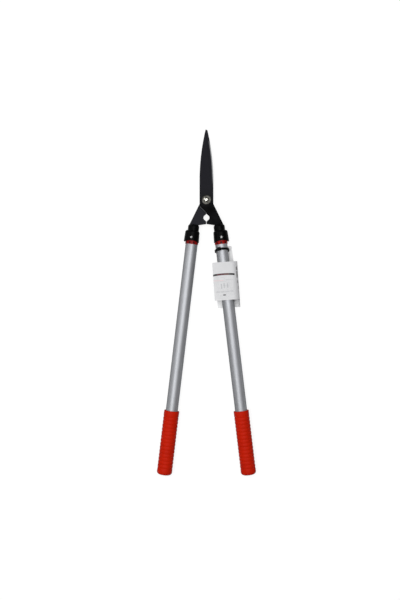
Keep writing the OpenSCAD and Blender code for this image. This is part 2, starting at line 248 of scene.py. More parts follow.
def newGroup(name, inputs, outputs):
    group = bpy.data.node_groups.new(name, "ShaderNodeTree")
    for label, kind, value in inputs:
        socket = group.interface.new_socket(label, in_out="INPUT", socket_type="NodeSocket" + kind)
        if value is not None:
            socket.default_value = value
    for label in outputs:
        group.interface.new_socket(label, in_out="OUTPUT", socket_type="NodeSocketFloat")
    return group, group.nodes.new("NodeGroupInput").outputs, group.nodes.new("NodeGroupOutput").inputs


def useGroup(tree, group, inputs):
    node = tree.nodes.new("ShaderNodeGroup")
    node.node_tree = group
    fillInputs(tree, node, inputs)
    return node.outputs


# Even grain: a height for bumps, and a roughness that wanders between two values
def makeGrain():
    group, given, out = newGroup("mouldGrain", [
        ("Vector", "Vector", None), ("Scale", "Float", 900.0),
        ("Low", "Float", 0.3), ("High", "Float", 0.5)], ["Height", "Rough"])
    fine = addNode(group, "TexNoise", {"Vector": given["Vector"], "Scale": given["Scale"], "Detail": 3.0})
    broad = addNode(group, "TexNoise", {"Vector": given["Vector"], "Scale": 60.0, "Detail": 2.0})
    both = calc(group, "ADD", calc(group, "MULTIPLY", fine.outputs[0], 0.5),
                calc(group, "MULTIPLY", broad.outputs[0], 0.5))
    group.links.new(fine.outputs[0], out["Height"])
    group.links.new(spread(group, both, 0.35, 0.65, given["Low"], given["High"]), out["Rough"])
    return group


# Rubbed edges: where the rounded normal leaves the true one, broken up by noise
def makeEdgeRub():
    group, given, out = newGroup("edgeRub", [
        ("Vector", "Vector", None), ("Radius", "Float", 0.0006), ("Amount", "Float", 0.5)], ["Mask"])
    rounded = addNode(group, "Bevel", {"Radius": given["Radius"]}, samples=6)
    actual = addNode(group, "NewGeometry")
    along = addNode(group, "VectorMath", {0: rounded.outputs[0], 1: actual.outputs["Normal"]},
                    operation="DOT_PRODUCT")
    away = spread(group, along.outputs["Value"], 0.995, 0.9, 0.0, 1.0)
    patchy = addNode(group, "TexNoise", {"Vector": given["Vector"], "Scale": 260.0, "Detail": 4.0})
    broken = spread(group, patchy.outputs[0], 0.42, 0.66, 0.0, 1.0)
    mask = calc(group, "MULTIPLY", calc(group, "MULTIPLY", away, broken), given["Amount"], clamp=True)
    group.links.new(mask, out["Mask"])
    return group


# Fine lines that run along z: drawn tube, ground bevel
def makeLines():
    group, given, out = newGroup("drawnLines", [
        ("Vector", "Vector", None), ("Fine", "Float", 2500.0), ("Stretch", "Float", 0.006)],
        ["Height", "Shade"])
    along = calc(group, "MULTIPLY", given["Fine"], given["Stretch"])
    sides = addNode(group, "CombineXYZ", {0: given["Fine"], 1: given["Fine"], 2: along})
    drawn = addNode(group, "VectorMath", {0: given["Vector"], 1: sides.outputs[0]}, operation="MULTIPLY")
    thin = addNode(group, "TexNoise", {"Vector": drawn.outputs[0], "Scale": 1.0, "Detail": 3.0})
    wide = addNode(group, "TexNoise", {"Vector": drawn.outputs[0], "Scale": 0.16, "Detail": 2.0})
    both = calc(group, "ADD", calc(group, "MULTIPLY", thin.outputs[0], 0.6),
                calc(group, "MULTIPLY", wide.outputs[0], 0.4))
    group.links.new(thin.outputs[0], out["Height"])
    group.links.new(spread(group, both, 0.32, 0.68, 0.0, 1.0), out["Shade"])
    return group


# Hand marks and dust: broad soft patches
def makeHandling():
    group, given, out = newGroup("handling", [
        ("Vector", "Vector", None), ("Scale", "Float", 25.0), ("Amount", "Float", 0.4)], ["Mask"])
    inputs = {"Vector": given["Vector"], "Scale": given["Scale"], "Detail": 5.0, "Roughness": 0.6}
    patch = addNode(group, "TexNoise", inputs)
    soft = spread(group, patch.outputs[0], 0.45, 0.75, 0.0, 1.0)
    group.links.new(calc(group, "MULTIPLY", soft, given["Amount"]), out["Mask"])
    return group


mouldGrain = makeGrain()
edgeRub = makeEdgeRub()
drawnLines = makeLines()
handling = makeHandling()


class Finish:
    # A material with its shader, and the piece's own coordinates in an axis frame
    def __init__(self, name, values, axes=None):
        self.material = bpy.data.materials.new(name)
        self.material.use_nodes = True
        self.tree = self.material.node_tree
        self.shader = self.tree.nodes["Principled BSDF"]
        for key, value in values.items():
            self.shader.inputs[key].default_value = value
        self.where = addNode(self.tree, "TexCoord").outputs["Object"]
        if axes is not None:
            inputs = {"Vector": self.where, "Location": axes.translation, "Rotation": axes.to_euler()}
            self.where = addNode(self.tree, "Mapping", inputs, vector_type="TEXTURE").outputs[0]

    def feed(self, key, value):
        self.tree.links.new(value, self.shader.inputs[key])

    def bump(self, height, distance, strength=1.0):
        inputs = {"Height": height, "Distance": distance, "Strength": strength}
        self.feed("Normal", addNode(self.tree, "Bump", inputs).outputs[0])

    def grain(self, scale, low, high, distance, strength=1.0):
        inputs = {"Vector": self.where, "Scale": scale, "Low": low, "High": high}
        found = useGroup(self.tree, mouldGrain, inputs)
        self.feed("Roughness", found["Rough"])
        self.bump(found["Height"], distance, strength)

    def worn(self, colour, edgeColour, radius, amount, dustColour, dust):
        rub = useGroup(self.tree, edgeRub, {"Vector": self.where, "Radius": radius, "Amount": amount})
        hands = useGroup(self.tree, handling, {"Vector": self.where, "Amount": dust})
        dusty = mixColour(self.tree, hands["Mask"], colour, dustColour)
        self.feed("Base Color", mixColour(self.tree, rub["Mask"], dusty, edgeColour))

    # Distance from the z axis of the finish's own coordinates
    def fromAxis(self):
        flat = addNode(self.tree, "VectorMath", {0: self.where, 1: (1.0, 1.0, 0.0)}, operation="MULTIPLY")
        return addNode(self.tree, "VectorMath", {0: flat.outputs[0]}, operation="LENGTH").outputs["Value"]


def rgb(r, g, b):
    return (r, g, b, 1.0)


# Where the forgings' finish changes, and where the arms' painted tone fades into the blade's, in mm from the
# pivot
forging = {
    "armToBlade": (-20, 30),
    "bareToTip": (120, 138),
    "bareToFoot": (66, 36),
    "bareToFace": (2.4, 4.2),  # across the bevel, off the middle plane
}


# Black coat of the forgings: satin, nearly smooth, a little greyer where it has been handled, with the arm's
# tone painted apart from the blade's
def bladeCoat(name, paintedArmTone, tip):
    finish = Finish(name, {"Specular IOR Level": 0.02})
    finish.grain(1400.0, 0.44, 0.56, 0.02 * mm)
    height = addNode(finish.tree, "SeparateXYZ", {0: finish.where}).outputs["Y"]
    # the arm's painted tone fades into the blade's between these heights
    low, high = [pivot.y + n * mm for n in forging["armToBlade"]]
    share = spread(finish.tree, height, low, high, 0.0, 1.0)
    colour = mixColour(finish.tree, share, rgb(paintedArmTone, paintedArmTone, paintedArmTone * 1.25), rgb(tip, tip, tip * 1.25))
    finish.worn(colour, rgb(0.05, 0.05, 0.055), 0.4 * mm, 0.2, rgb(0.02, 0.02, 0.023), 0.4)
    return finish.material


# Bare edge where one half slides over the other
def rubbedEdge():
    finish = Finish("rubbedEdge", {"Metallic": 0.5})
    finish.grain(900.0, 0.4, 0.55, 0.02 * mm)
    finish.worn(rgb(0.09, 0.095, 0.1), rgb(0.16, 0.16, 0.17), 0.3 * mm, 0.4, rgb(0.04, 0.04, 0.045), 0.6)
    return finish.material


# Ground bevel: bright steel, lined across the edge, still coated at the tip, the foot and by the face
def groundBevel():
    finish = Finish("groundBevel", {"Metallic": 1.0}, Matrix.Rotation(pi / 2, 4, "Y"))
    lines = useGroup(finish.tree, drawnLines, {"Vector": finish.where, "Fine": 3000.0, "Stretch": 0.05})
    steel = mixColour(finish.tree, lines["Shade"], rgb(0.4, 0.4, 0.41), rgb(0.55, 0.55, 0.56))
    spot = addNode(finish.tree, "SeparateXYZ", {0: finish.where}).outputs
    up = calc(finish.tree, "SUBTRACT", spot["Y"], pivot.y)
    offPlane = calc(finish.tree, "ABSOLUTE", calc(finish.tree, "ADD", spot["X"], pivot.z))
    coated = 0.0
    for reach, limits in ((up, "bareToTip"), (up, "bareToFoot"), (offPlane, "bareToFace")):
        start, end = [n * mm for n in forging[limits]]
        coated = calc(finish.tree, "MAXIMUM", coated, spread(finish.tree, reach, start, end, 0.0, 1.0))
    finish.feed("Base Color", mixColour(finish.tree, coated, steel, rgb(0.02, 0.02, 0.024)))
    finish.feed("Roughness", spread(finish.tree, lines["Shade"], 0.0, 1.0, 0.42, 0.3))
    finish.bump(lines["Height"], 0.02 * mm)
    return finish.material


# Zinc plate of the bolt, the nut and the washers, turned in rings about the pivot
def zincPlate(name, tone, low, high):
    finish = Finish(name, {"Metallic": 1.0}, Matrix.Translation(pivot))
    across = calc(finish.tree, "MULTIPLY", finish.fromAxis(), 4000.0)
    rings = addNode(finish.tree, "TexNoise", {"W": across, "Scale": 1.0, "Detail": 2.0},
                    noise_dimensions="1D").outputs[0]
    hands = useGroup(finish.tree, handling, {"Vector": finish.where, "Scale": 160.0, "Amount": 0.6})
    bright = rgb(tone * 1.06, tone * 1.04, tone * 0.94)
    dull = rgb(tone * 0.66, tone * 0.64, tone * 0.55)
    finish.feed("Base Color", mixColour(finish.tree, hands["Mask"], bright, dull))
    finish.feed("Roughness", spread(finish.tree, rings, 0.3, 0.7, low, high))
    finish.bump(rings, 0.012 * mm)
    return finish.material


# Gloss black moulding
def socketGloss():
    finish = Finish("socketGloss", {"Specular IOR Level": 0.035})
    finish.grain(2200.0, 0.26, 0.38, 0.012 * mm)
    finish.worn(rgb(0.0016, 0.0016, 0.0018), rgb(0.008, 0.008, 0.009), 0.6 * mm, 0.3,
                rgb(0.004, 0.004, 0.0045), 0.5)
    return finish.material


# Red moulding of the sleeves, with painted shade: near black on the floors of the windows
sleeve = {"skin": 14.85, "windowFloor": 14.6}  # mm from the tube's axis


def sleeveGloss(name, axes):
    finish = Finish(name, {"Specular IOR Level": 0.1}, axes)
    finish.grain(1800.0, 0.3, 0.42, 0.012 * mm)
    # painted shade: the red darkens to near black down into each window
    paintedRecessShade = spread(finish.tree, finish.fromAxis(), sleeve["skin"] * mm, sleeve["windowFloor"] * mm, 0.0, 1.0)
    colour = mixColour(finish.tree, paintedRecessShade, rgb(0.26, 0.004, 0.003), rgb(0.012, 0.0, 0.0))
    finish.worn(colour, rgb(0.4, 0.02, 0.014), 0.2 * mm, 0.3, rgb(0.04, 0.0005, 0.0005), 0.9)
    return finish.material


# Drawn tube with lines down its length, under a grey coat whose tint is painted shade: it dims the tube,
# most at its rims where it is seen aslant
def tubeSatin(name, axes):
    # the coat's grey tint paints shade onto the tube's rims
    skin = {"Coat Weight": 1.0, "Coat Roughness": 0.5, "Coat IOR": 1.08, "Coat Tint": rgb(0.45, 0.45, 0.45)}
    finish = Finish(name, {"Metallic": 0.65, "Specular IOR Level": 0.0, **skin}, axes)
    lines = useGroup(finish.tree, drawnLines, {"Vector": finish.where, "Fine": 2600.0, "Stretch": 0.004})
    hands = useGroup(finish.tree, handling, {"Vector": finish.where, "Scale": 30.0, "Amount": 0.35})
    silver = mixColour(finish.tree, lines["Shade"], rgb(0.82, 0.838, 0.885), rgb(0.93, 0.95, 0.99))
    finish.feed("Base Color", mixColour(finish.tree, hands["Mask"], silver, rgb(0.76, 0.777, 0.82)))
    finish.feed("Roughness", spread(finish.tree, lines["Shade"], 0.0, 1.0, 0.56, 0.48))
    finish.bump(lines["Height"], 0.015 * mm)
    return finish.material


# Red grip: soft moulding, a little dull where hands and dust have been
def gripRubber():
    finish = Finish("gripRubber", {"Specular IOR Level": 0.05})
    finish.grain(1500.0, 0.42, 0.58, 0.03 * mm)
    finish.worn(rgb(0.485, 0.012, 0.0015), rgb(0.53, 0.03, 0.006), 0.8 * mm, 0.3,
                rgb(0.34, 0.006, 0.001), 0.4)
    return finish.material


def tieNylon():
    finish = Finish("tieNylon", {"Specular IOR Level": 0.06})
    finish.grain(1600.0, 0.38, 0.5, 0.01 * mm)
    finish.worn(rgb(0.0012, 0.0012, 0.0014), rgb(0.006, 0.006, 0.006), 0.3 * mm, 0.3,
                rgb(0.003, 0.003, 0.003), 0.4)
    return finish.material


def rivetBright():
    finish = Finish("rivetBright", {"Metallic": 1.0})
    finish.grain(1200.0, 0.4, 0.52, 0.01 * mm)
    finish.worn(rgb(0.45, 0.45, 0.45), rgb(0.6, 0.6, 0.6), 0.2 * mm, 0.3, rgb(0.3, 0.3, 0.3), 0.6)
    return finish.material


# One bar of print: its middle, its half sizes and a bow, in millimetres on the card
def makePrintBar():
    group, given, out = newGroup("printBar", [
        ("Vector", "Vector", None), ("X", "Float", 0.0), ("Z", "Float", 0.0), ("Wide", "Float", 1.0),
        ("Tall", "Float", 1.0), ("Bow", "Float", 0.0), ("Soft", "Float", 0.5)], ["Mask"])
    spot = addNode(group, "SeparateXYZ", {0: given["Vector"]}).outputs
    fromMiddle = calc(group, "SUBTRACT", spot["X"], given["X"])
    share = calc(group, "DIVIDE", fromMiddle, given["Wide"])
    arch = calc(group, "SUBTRACT", 1.0, calc(group, "MULTIPLY", share, share))
    bowed = calc(group, "MULTIPLY", arch, given["Bow"])
    along = calc(group, "SUBTRACT", spot["Z"], calc(group, "SUBTRACT", given["Z"], bowed))
    sideways = calc(group, "ABSOLUTE", fromMiddle)
    edges = []
    for reach, half in ((sideways, given["Wide"]), (calc(group, "ABSOLUTE", along), given["Tall"])):
        past = calc(group, "DIVIDE", calc(group, "SUBTRACT", half, reach), given["Soft"])
        edges.append(calc(group, "ADD", past, 0.5, clamp=True))
    front = calc(group, "GREATER_THAN", spot["Y"], 0.0)
    mask = calc(group, "MULTIPLY", calc(group, "MULTIPLY", *edges), front)
    group.links.new(mask, out["Mask"])
    return group


printBar = makePrintBar()


# Plain finishes of the pieces inside the joint and the tubes
def innerFinish(name, colour, metallic, low, high):
    finish = Finish(name, {"Metallic": metallic})
    finish.grain(1200.0, low, high, 0.01 * mm)
    shade = rgb(*[0.7 * c for c in colour])
    finish.worn(rgb(*colour), rgb(*[min(1.0, 1.2 * c) for c in colour]), 0.2 * mm, 0.3, shade, 0.5)
    return finish.material


# Camera, floor and light
studio = {
    "pixel": 2.326,  # mm of the object's plane in one pixel
    "frameHeight": 600,  # pixels
    "aimFromPivot": (-15, -232.8),  # mm, the middle of the picture
    "lens": 50,
    "sensor": 36,
    "floorSize": 14.0,  # m
    "floorTone": 0.2,
    "floorLift": 0.85,  # what the white ground adds for the eye and for gloss
    "sky": (0.88, 0.1),  # at the horizon and overhead
    "skyFade": (0.08, 0.2),  # heights between which the one turns into the other
    "lamps": {  # place (m), size (m) and power (W)
        "softbox": ((-0.1, 0.1, 2.0), (1.3, 2.4), 41.0),
        "fill": ((-1.6, 0.9, 1.3), (1.2, 1.6), 13.0),
    },
}


def makeCamera():
    data = bpy.data.cameras.new("camera")
    data.lens = studio["lens"]
    data.sensor_width = studio["sensor"]
    camera = bpy.data.objects.new("camera", data)
    bpy.context.scene.collection.objects.link(camera)
    across, along = studio["aimFromPivot"]
    height = studio["pixel"] * studio["frameHeight"] * studio["lens"] / studio["sensor"]
    camera.location = pivot + Vector((across, along, height)) * mm
    bpy.context.scene.camera = camera


def makeFloor():
    clearAll()
    bpy.ops.mesh.primitive_plane_add(size=studio["floorSize"])
    floor = bpy.context.object
    floor.name = "floor"
    material = bpy.data.materials.new("whiteGround")
    material.use_nodes = True
    tree = material.node_tree
    tree.nodes.remove(tree.nodes["Principled BSDF"])
    tone = studio["floorTone"]
    matt = addNode(tree, "BsdfDiffuse", {"Color": rgb(tone, tone, tone)})
    path = addNode(tree, "LightPath")
    seen = calc(tree, "MAXIMUM", path.outputs["Is Camera Ray"], path.outputs["Is Glossy Ray"])
    seen = calc(tree, "MAXIMUM", seen, path.outputs["Is Transmission Ray"])
    lift = addNode(tree, "Emission", {"Strength": calc(tree, "MULTIPLY", seen, studio["floorLift"])})
    both = addNode(tree, "AddShader", {0: matt.outputs[0], 1: lift.outputs[0]})
    tree.links.new(both.outputs[0], tree.nodes["Material Output"].inputs["Surface"])
    material.cycles.emission_sampling = "NONE"
    floor.data.materials.append(material)


def makeLight():
    for name, (location, size, power) in studio["lamps"].items():
        data = bpy.data.lights.new(name, "AREA")
        data.shape = "RECTANGLE"
        data.size, data.size_y = size
        data.energy = power
        lamp = bpy.data.objects.new(name, data)
        bpy.context.scene.collection.objects.link(lamp)
        lamp.location = location
        lamp.rotation_euler = (-lamp.location).to_track_quat("-Z", "X").to_euler()
    world = bpy.data.worlds.new("studioSky")
    bpy.context.scene.world = world
    world.use_nodes = True
    tree = world.node_tree
    way = addNode(tree, "TexCoord").outputs["Generated"]
    height = addNode(tree, "SeparateXYZ", {0: way}).outputs["Z"]
    level = spread(tree, height, *studio["skyFade"], *studio["sky"])
    tree.links.new(level, tree.nodes["Background"].inputs["Strength"])
    tree.nodes["Background"].inputs["Color"].default_value = rgb(1.0, 1.0, 1.0)


makeCamera()
makeFloor()
makeLight()
bpy.context.scene.view_settings.view_transform = "Standard"
print("studio ready")

# painted shade on the front half's arm, painted light on the rear half's arm
coatFront = bladeCoat("bladeCoatFront", 0.001, 0.014)
coatRear = bladeCoat("bladeCoatRear", 0.018, 0.014)
rubbed = rubbedEdge()
bevelSteel = groundBevel()
zinc = zincPlate("zincBolt", 0.5, 0.16, 0.26)
# the washers' zinc is toned far darker than the bolt's: painted shade for the dark they reflect
zincWasherShaded = zincPlate("zincWasherShaded", 0.043, 0.24, 0.34)
socketBlack = socketGloss()
gripRed = gripRubber()
tieBlack = tieNylon()
rivetSteel = rivetBright()
print("finishes ready")

# Forged halves: the solid's shape with a rounded tip and eased edges
blade = {
    "tipRound": 1.6,
    "tipSteps": 4,
    "tipTrim": 0.01,
    "bevelFoot": 20.0,  # how far above the pivot the ground bevel starts
    "lapLine": 32.244,  # where the lap's edge meets the middle line, below the pivot
    "lapReach": 18.0,  # how far up its edge is bare
    "lapFace": 2.0,  # its edge lies further than this off the middle plane
    "lapRub": 1.6,  # width of the bare edge there
    "edgeRound": 0.34,
    "roundSteps": 2,
    "near": 0.05,  # how far from that edge's line still counts as on it
}


def makeBlade(name, node, material, face):
    piece = copyNode(name, node)
    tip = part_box(node)[1].y
    near, trim = blade["near"] * mm, blade["tipTrim"] * mm
    lapFoot = -blade["lapLine"] * mm
    lapHead = lapFoot + blade["lapReach"] * mm

    # the upright edge at the tip
    def atTip(a, b):
        upright = abs(a.z - b.z) > blade["edgeRound"] * mm and abs(a.y - b.y) < trim
        return upright and a.y > tip - trim

    pickEdges(piece, atTip)
    bpy.ops.mesh.bevel(offset=blade["tipRound"] * mm, segments=blade["tipSteps"], affect="EDGES")

    # the slanting edge of the lap, on its outer face
    def onLap(spot):
        off = (spot.x - pivot.x) * face + spot.y - pivot.y - lapFoot
        return abs(off) < near and (spot.z - pivot.z) * face > blade["lapFace"] * mm

    pickEdges(piece, lambda a, b: onLap(a) and onLap(b))
    bpy.ops.mesh.bevel(offset=blade["lapRub"] * mm, segments=1, affect="EDGES")
    closeEdit()
    roundEdges(piece, blade["edgeRound"], blade["roundSteps"])
    openEdit(piece)
    bpy.ops.mesh.bisect(plane_co=(0, tip - trim, 0), plane_no=(0, 1, 0), clear_outer=True, use_fill=True,
                        threshold=0.001 * mm)
    closeEdit()
    for finish in (material, bevelSteel, rubbed):
        piece.data.materials.append(finish)
    for polygon in piece.data.polygons:
        across, along, up = polygon.normal.x * face, polygon.normal.y, polygon.normal.z * face
        height = polygon.center.y - pivot.y
        if 0.45 < across < 0.95 and 0.3 < up < 0.9 and height > blade["bevelFoot"] * mm:
            polygon.material_index = 1  # the ground bevel leans out to its own side
        if across < -0.3 and along < -0.3 and 0.3 < up < 0.85 and lapFoot < height < lapHead:
            polygon.material_index = 2  # the lap's edge leans in and down
    finishPiece(piece, node, material, angle=0)


makeBlade("frontBlade", "front_blade", coatFront, 1)
makeBlade("rearBlade", "rear_blade", coatRear, -1)
print("blades made")

# Tubes: drawn aluminium with broken ends
tube = {
    "radius": 14.0,
    "wall": 1.5,
    "start": 74.5,
    "end": 638.0,
    "chamfer": 0.3,
    "steps": 128,
}


def makeTubes():
    outer, inner = tube["radius"], tube["radius"] - tube["wall"]
    start, end, cut = tube["start"], tube["end"], tube["chamfer"]
    profile = [(inner, start), (outer - cut, start), (outer, start + cut), (outer, end - cut),
               (outer - cut, end), (inner, end), (inner, start)]
    right = spinLine("rightTube", profile, tube["steps"])
    place(right, rightHandle)
    left = turnedCopy(right, "leftTube")
    finishPiece(right, "right_tube", tubeSatin("tubeSatinRight", rightHandle))
    finishPiece(left, "left_tube", tubeSatin("tubeSatinLeft", leftHandle))


makeTubes()

# Grips: a plain cuff, round grooves and a closed round end
grip = {
    "start": 493.5,
    "end": 642.94,
    "radius": 17.69,
    "bore": 14.05,
    "boreEase": 0.5,
    "floor": 638.0,
    "lip": 1.2,
    "endRound": 7.0,
    "endSteps": 10,
    "cuff": 14.5,
    "pitch": 8.5,
    "grooves": 15,
    "grooveWidth": 4.4,
    "grooveDepth": 0.62,
    "grooveShape": 1.5,  # more is narrower at the bottom
    "grooveSteps": 8,
    "crown": 0.12,  # how far a rib swells between its grooves
    "steps": 112,
}


def makeGrips():
    radius, bore, ease = grip["radius"], grip["bore"], grip["boreEase"]
    start, lip, turn = grip["start"], grip["lip"], grip["endRound"]
    steps = grip["grooveSteps"]
    profile = [(0, grip["floor"]), (bore, grip["floor"]), (bore, start + ease), (bore + ease, start)]
    profile += corner(radius - lip, start + lip, lip, -90, 0)
    for i in range(grip["grooves"]):
        at = start + grip["cuff"] + i * grip["pitch"]
        for k in range(steps + 1):
            share = k / steps
            dip = grip["grooveDepth"] * sin(pi * share) ** grip["grooveShape"]
            profile.append((radius - grip["crown"] - dip, at + (share - 0.5) * grip["grooveWidth"]))
        if i < grip["grooves"] - 1:
            profile.append((radius, at + grip["pitch"] / 2))
    profile += corner(radius - turn, grip["end"] - turn, turn, 0, 90, grip["endSteps"])
    profile += [(0, grip["end"])]
    right = spinLine("rightGrip", profile, grip["steps"])
    place(right, rightHandle)
    left = turnedCopy(right, "leftGrip")
    finishPiece(right, "right_grip", gripRed, 50)
    finishPiece(left, "left_grip", gripRed, 50)


makeGrips()
print("handles made")

# Sockets and sleeves: the solids' shapes, with moulded fillets and eased edges
socket = {"fillet": 0.45, "filletSteps": 3, "sleeveEase": 0.12, "sharp": 50}


def makeSockets():
    for side in ("left", "right"):
        piece = copyNode(side + "Socket", side + "_socket")
        roundEdges(piece, socket["fillet"], socket["filletSteps"], socket["sharp"])
        finishPiece(piece, side + "_socket", socketBlack)
        piece = copyNode(side + "Sleeve", side + "_sleeve")
        roundEdges(piece, socket["sleeveEase"], sharp=socket["sharp"])
        axes = leftHandle if side == "left" else rightHandle
        finishPiece(piece, side + "_sleeve", sleeveGloss(side + "SleeveGloss", axes))


makeSockets()

# Rivets: a domed head at each end of a plain shank
rivet = {"headRadius": 2.6, "headHeight": 1.0, "radius": 2.0, "lip": 0.2, "domeSteps": 8, "steps": 48}


def makeRivets():
    low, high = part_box("right_rivet")
    middle = (low + high) / 2
    half = (high.z - low.z) / 2 / mm
    headR, headH, lip = rivet["headRadius"], rivet["headHeight"], rivet["lip"]
    seat = half - headH
    domeR = (headR ** 2 + headH ** 2) / (2 * headH)
    head = []
    for i in range(rivet["domeSteps"]):
        r = headR * i / rivet["domeSteps"]
        head.append((r, half - domeR + sqrt(domeR ** 2 - r ** 2)))
    head += [(headR, seat + lip), (headR - lip, seat), (rivet["radius"], seat)]
    profile = head + [(r, -z) for r, z in reversed(head)]
    right = spinLine("rightRivet", profile, rivet["steps"])
    place(right, Matrix.Translation(middle))
    left = turnedCopy(right, "leftRivet")
    finishPiece(right, "right_rivet", rivetSteel, 40)
    finishPiece(left, "left_rivet", rivetSteel, 40)


makeRivets()

# Pivot: bolt and nut from their solids, and washers that are dished a little
joint = {
    "edge": 0.3,
    "crown": 11.0,  # radius of the rounded top of the bolt's head
    "crownReach": 9.0,
    "crownSteps": 14,
    "boltRoom": 60,  # more than the bolt's length
    "washerBore": 4.05,
    "washerSeat": 7.6,  # radius of the flat under the bolt's head or the nut
    "washerDish": 0.45,  # how much lower the washer is at its rim
    "washerRound": 0.5,
    "washerSteps": 96,
}


def makeWasher(name, node, upward):
    low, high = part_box(node)
    radius = (high.x - low.x) / 2 / mm
    thick = (high.z - low.z) / mm
    bore, dish, ease = joint["washerBore"], joint["washerDish"], joint["washerRound"]
    rim = thick - dish
    profile = [(bore, 0), (radius - ease, 0)]
    profile += corner(radius - ease, ease, ease, -90, 0, 4)
    profile += corner(radius - ease, rim - ease, ease, 0, 80, 4)
    profile += [(joint["washerSeat"], thick), (bore, thick), (bore, 0)]
    piece = spinLine(name, profile, joint["washerSteps"])
    foot = Vector((pivot.x, pivot.y, low.z if upward else high.z))
    place(piece, Matrix.Translation(foot) @ Matrix.Rotation(0 if upward else pi, 4, "X"))
    finishPiece(piece, node, zincWasherShaded, 30)


# The head's top is rounded by what it shares with a blunt spindle
def crownHead(piece, top):
    crown, reach, steps = joint["crown"], joint["crownReach"], joint["crownSteps"]
    profile = [(0, -joint["boltRoom"]), (reach, -joint["boltRoom"])]
    for i in range(steps + 1):
        r = reach * (1 - i / steps)
        profile.append((r, sqrt(crown ** 2 - r ** 2) - crown))
    spindle = spinLine("spindle", profile)
    place(spindle, Matrix.Translation((pivot.x, pivot.y, top)))
    carve(piece, spindle, "INTERSECT")


def makePivot():
    for name, node in (("pivotBolt", "pivot_bolt"), ("lockNut", "lock_nut")):
        piece = copyNode(name, node)
        if node == "pivot_bolt":
            crownHead(piece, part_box(node)[1].z)
        roundEdges(piece, joint["edge"])
        finishPiece(piece, node, zinc, 0)
    makeWasher("frontWasher", "front_washer", True)
    makeWasher("rearWasher", "rear_washer", False)


makePivot()
print("sockets and pivot made")

# Cable tie: a loose strap, and a lock head with its slot
tie = {
    "at": 118.5,
    "tilt": 12.0,
    "inner": 16.08,
    "outer": 17.26,
    "width": 5.0,
    "ease": 0.3,
    "steps": 96,
    "headTurn": 112.0,
    "headHeight": 4.6,
    "headLength": 8.4,
    "headWidth": 7.6,
    "headEase": 0.45,
    "headSteps": 3,
    "slotInset": 1.7,
    "slotDepth": 1.6,
}
tieAxes = (rightHandle @ Matrix.Translation((0, 0, tie["at"] * mm))
           @ Matrix.Rotation(-radians(tie["tilt"]), 4, "X"))


def makeTie():
    inner, outer, half, ease = tie["inner"], tie["outer"], tie["width"] / 2, tie["ease"]
    profile = [(inner, -half), (outer - ease, -half), (outer, ease - half), (outer, half - ease),
               (outer - ease, half), (inner, half), (inner, -half)]
    strap = spinLine("cableTie", profile, tie["steps"])
    clearAll()
    bpy.ops.mesh.primitive_cube_add(size=1)
    head = bpy.context.object
    place(head, Matrix.Diagonal((tie["headHeight"] * mm, tie["headLength"] * mm, tie["headWidth"] * mm, 1)))
    pickFaces(head, lambda middle, normal: abs(normal.y) > 0.9)
    bpy.ops.mesh.inset(thickness=tie["slotInset"] * mm, use_individual=True)
    bpy.ops.mesh.extrude_region_shrink_fatten(TRANSFORM_OT_shrink_fatten={"value": -tie["slotDepth"] * mm})
    closeEdit()
    roundEdges(head, tie["headEase"], tie["headSteps"])
    turn = Matrix.Rotation(radians(tie["headTurn"]), 4, "Z")
    place(head, turn @ Matrix.Translation(((inner + tie["headHeight"] / 2) * mm, 0, 0)))
    carve(strap, head, "UNION")
    place(strap, tieAxes)
    finishPiece(strap, "cable_tie", tieBlack)


makeTie()

# Hang tag: one card folded round the tube, with a tab that the tie goes through
tag = {
    "at": 146.0,
    "length": 88.2,
    "left": 28.6,
    "cuts": (-20, -10, 0, 8),  # where the front leaf is divided, so that it can droop
    "fold": 15.1,  # where the card starts to bend, from the tube's axis
    "bend": 14.6,  # radius of the bend at the middle of the card
    "rearLeft": 22.2,
    "rearFoot": 18.0,
    "tab": 37.4,
    "tabLeft": 13.4,
    "tabRight": 22.4,
    "tabTaper": 2.6,
    "turn": 2.8,
    "card": 0.6,
    "droop": 0.9,
    "droopReach": 18.0,
    "rows": 12,
    "bendSteps": 16,
    "slit": (7.5, 3.0, 5.84),
    "slitX": 6.55,
    "slitAt": 121.6,
}
tagMiddle = tag["at"] + tag["length"] / 2
tagAxes = (rightHandle @ Matrix.Translation((0, 0, tagMiddle * mm))
           @ Matrix.Rotation(-radians(tag["turn"]), 4, "Y"))


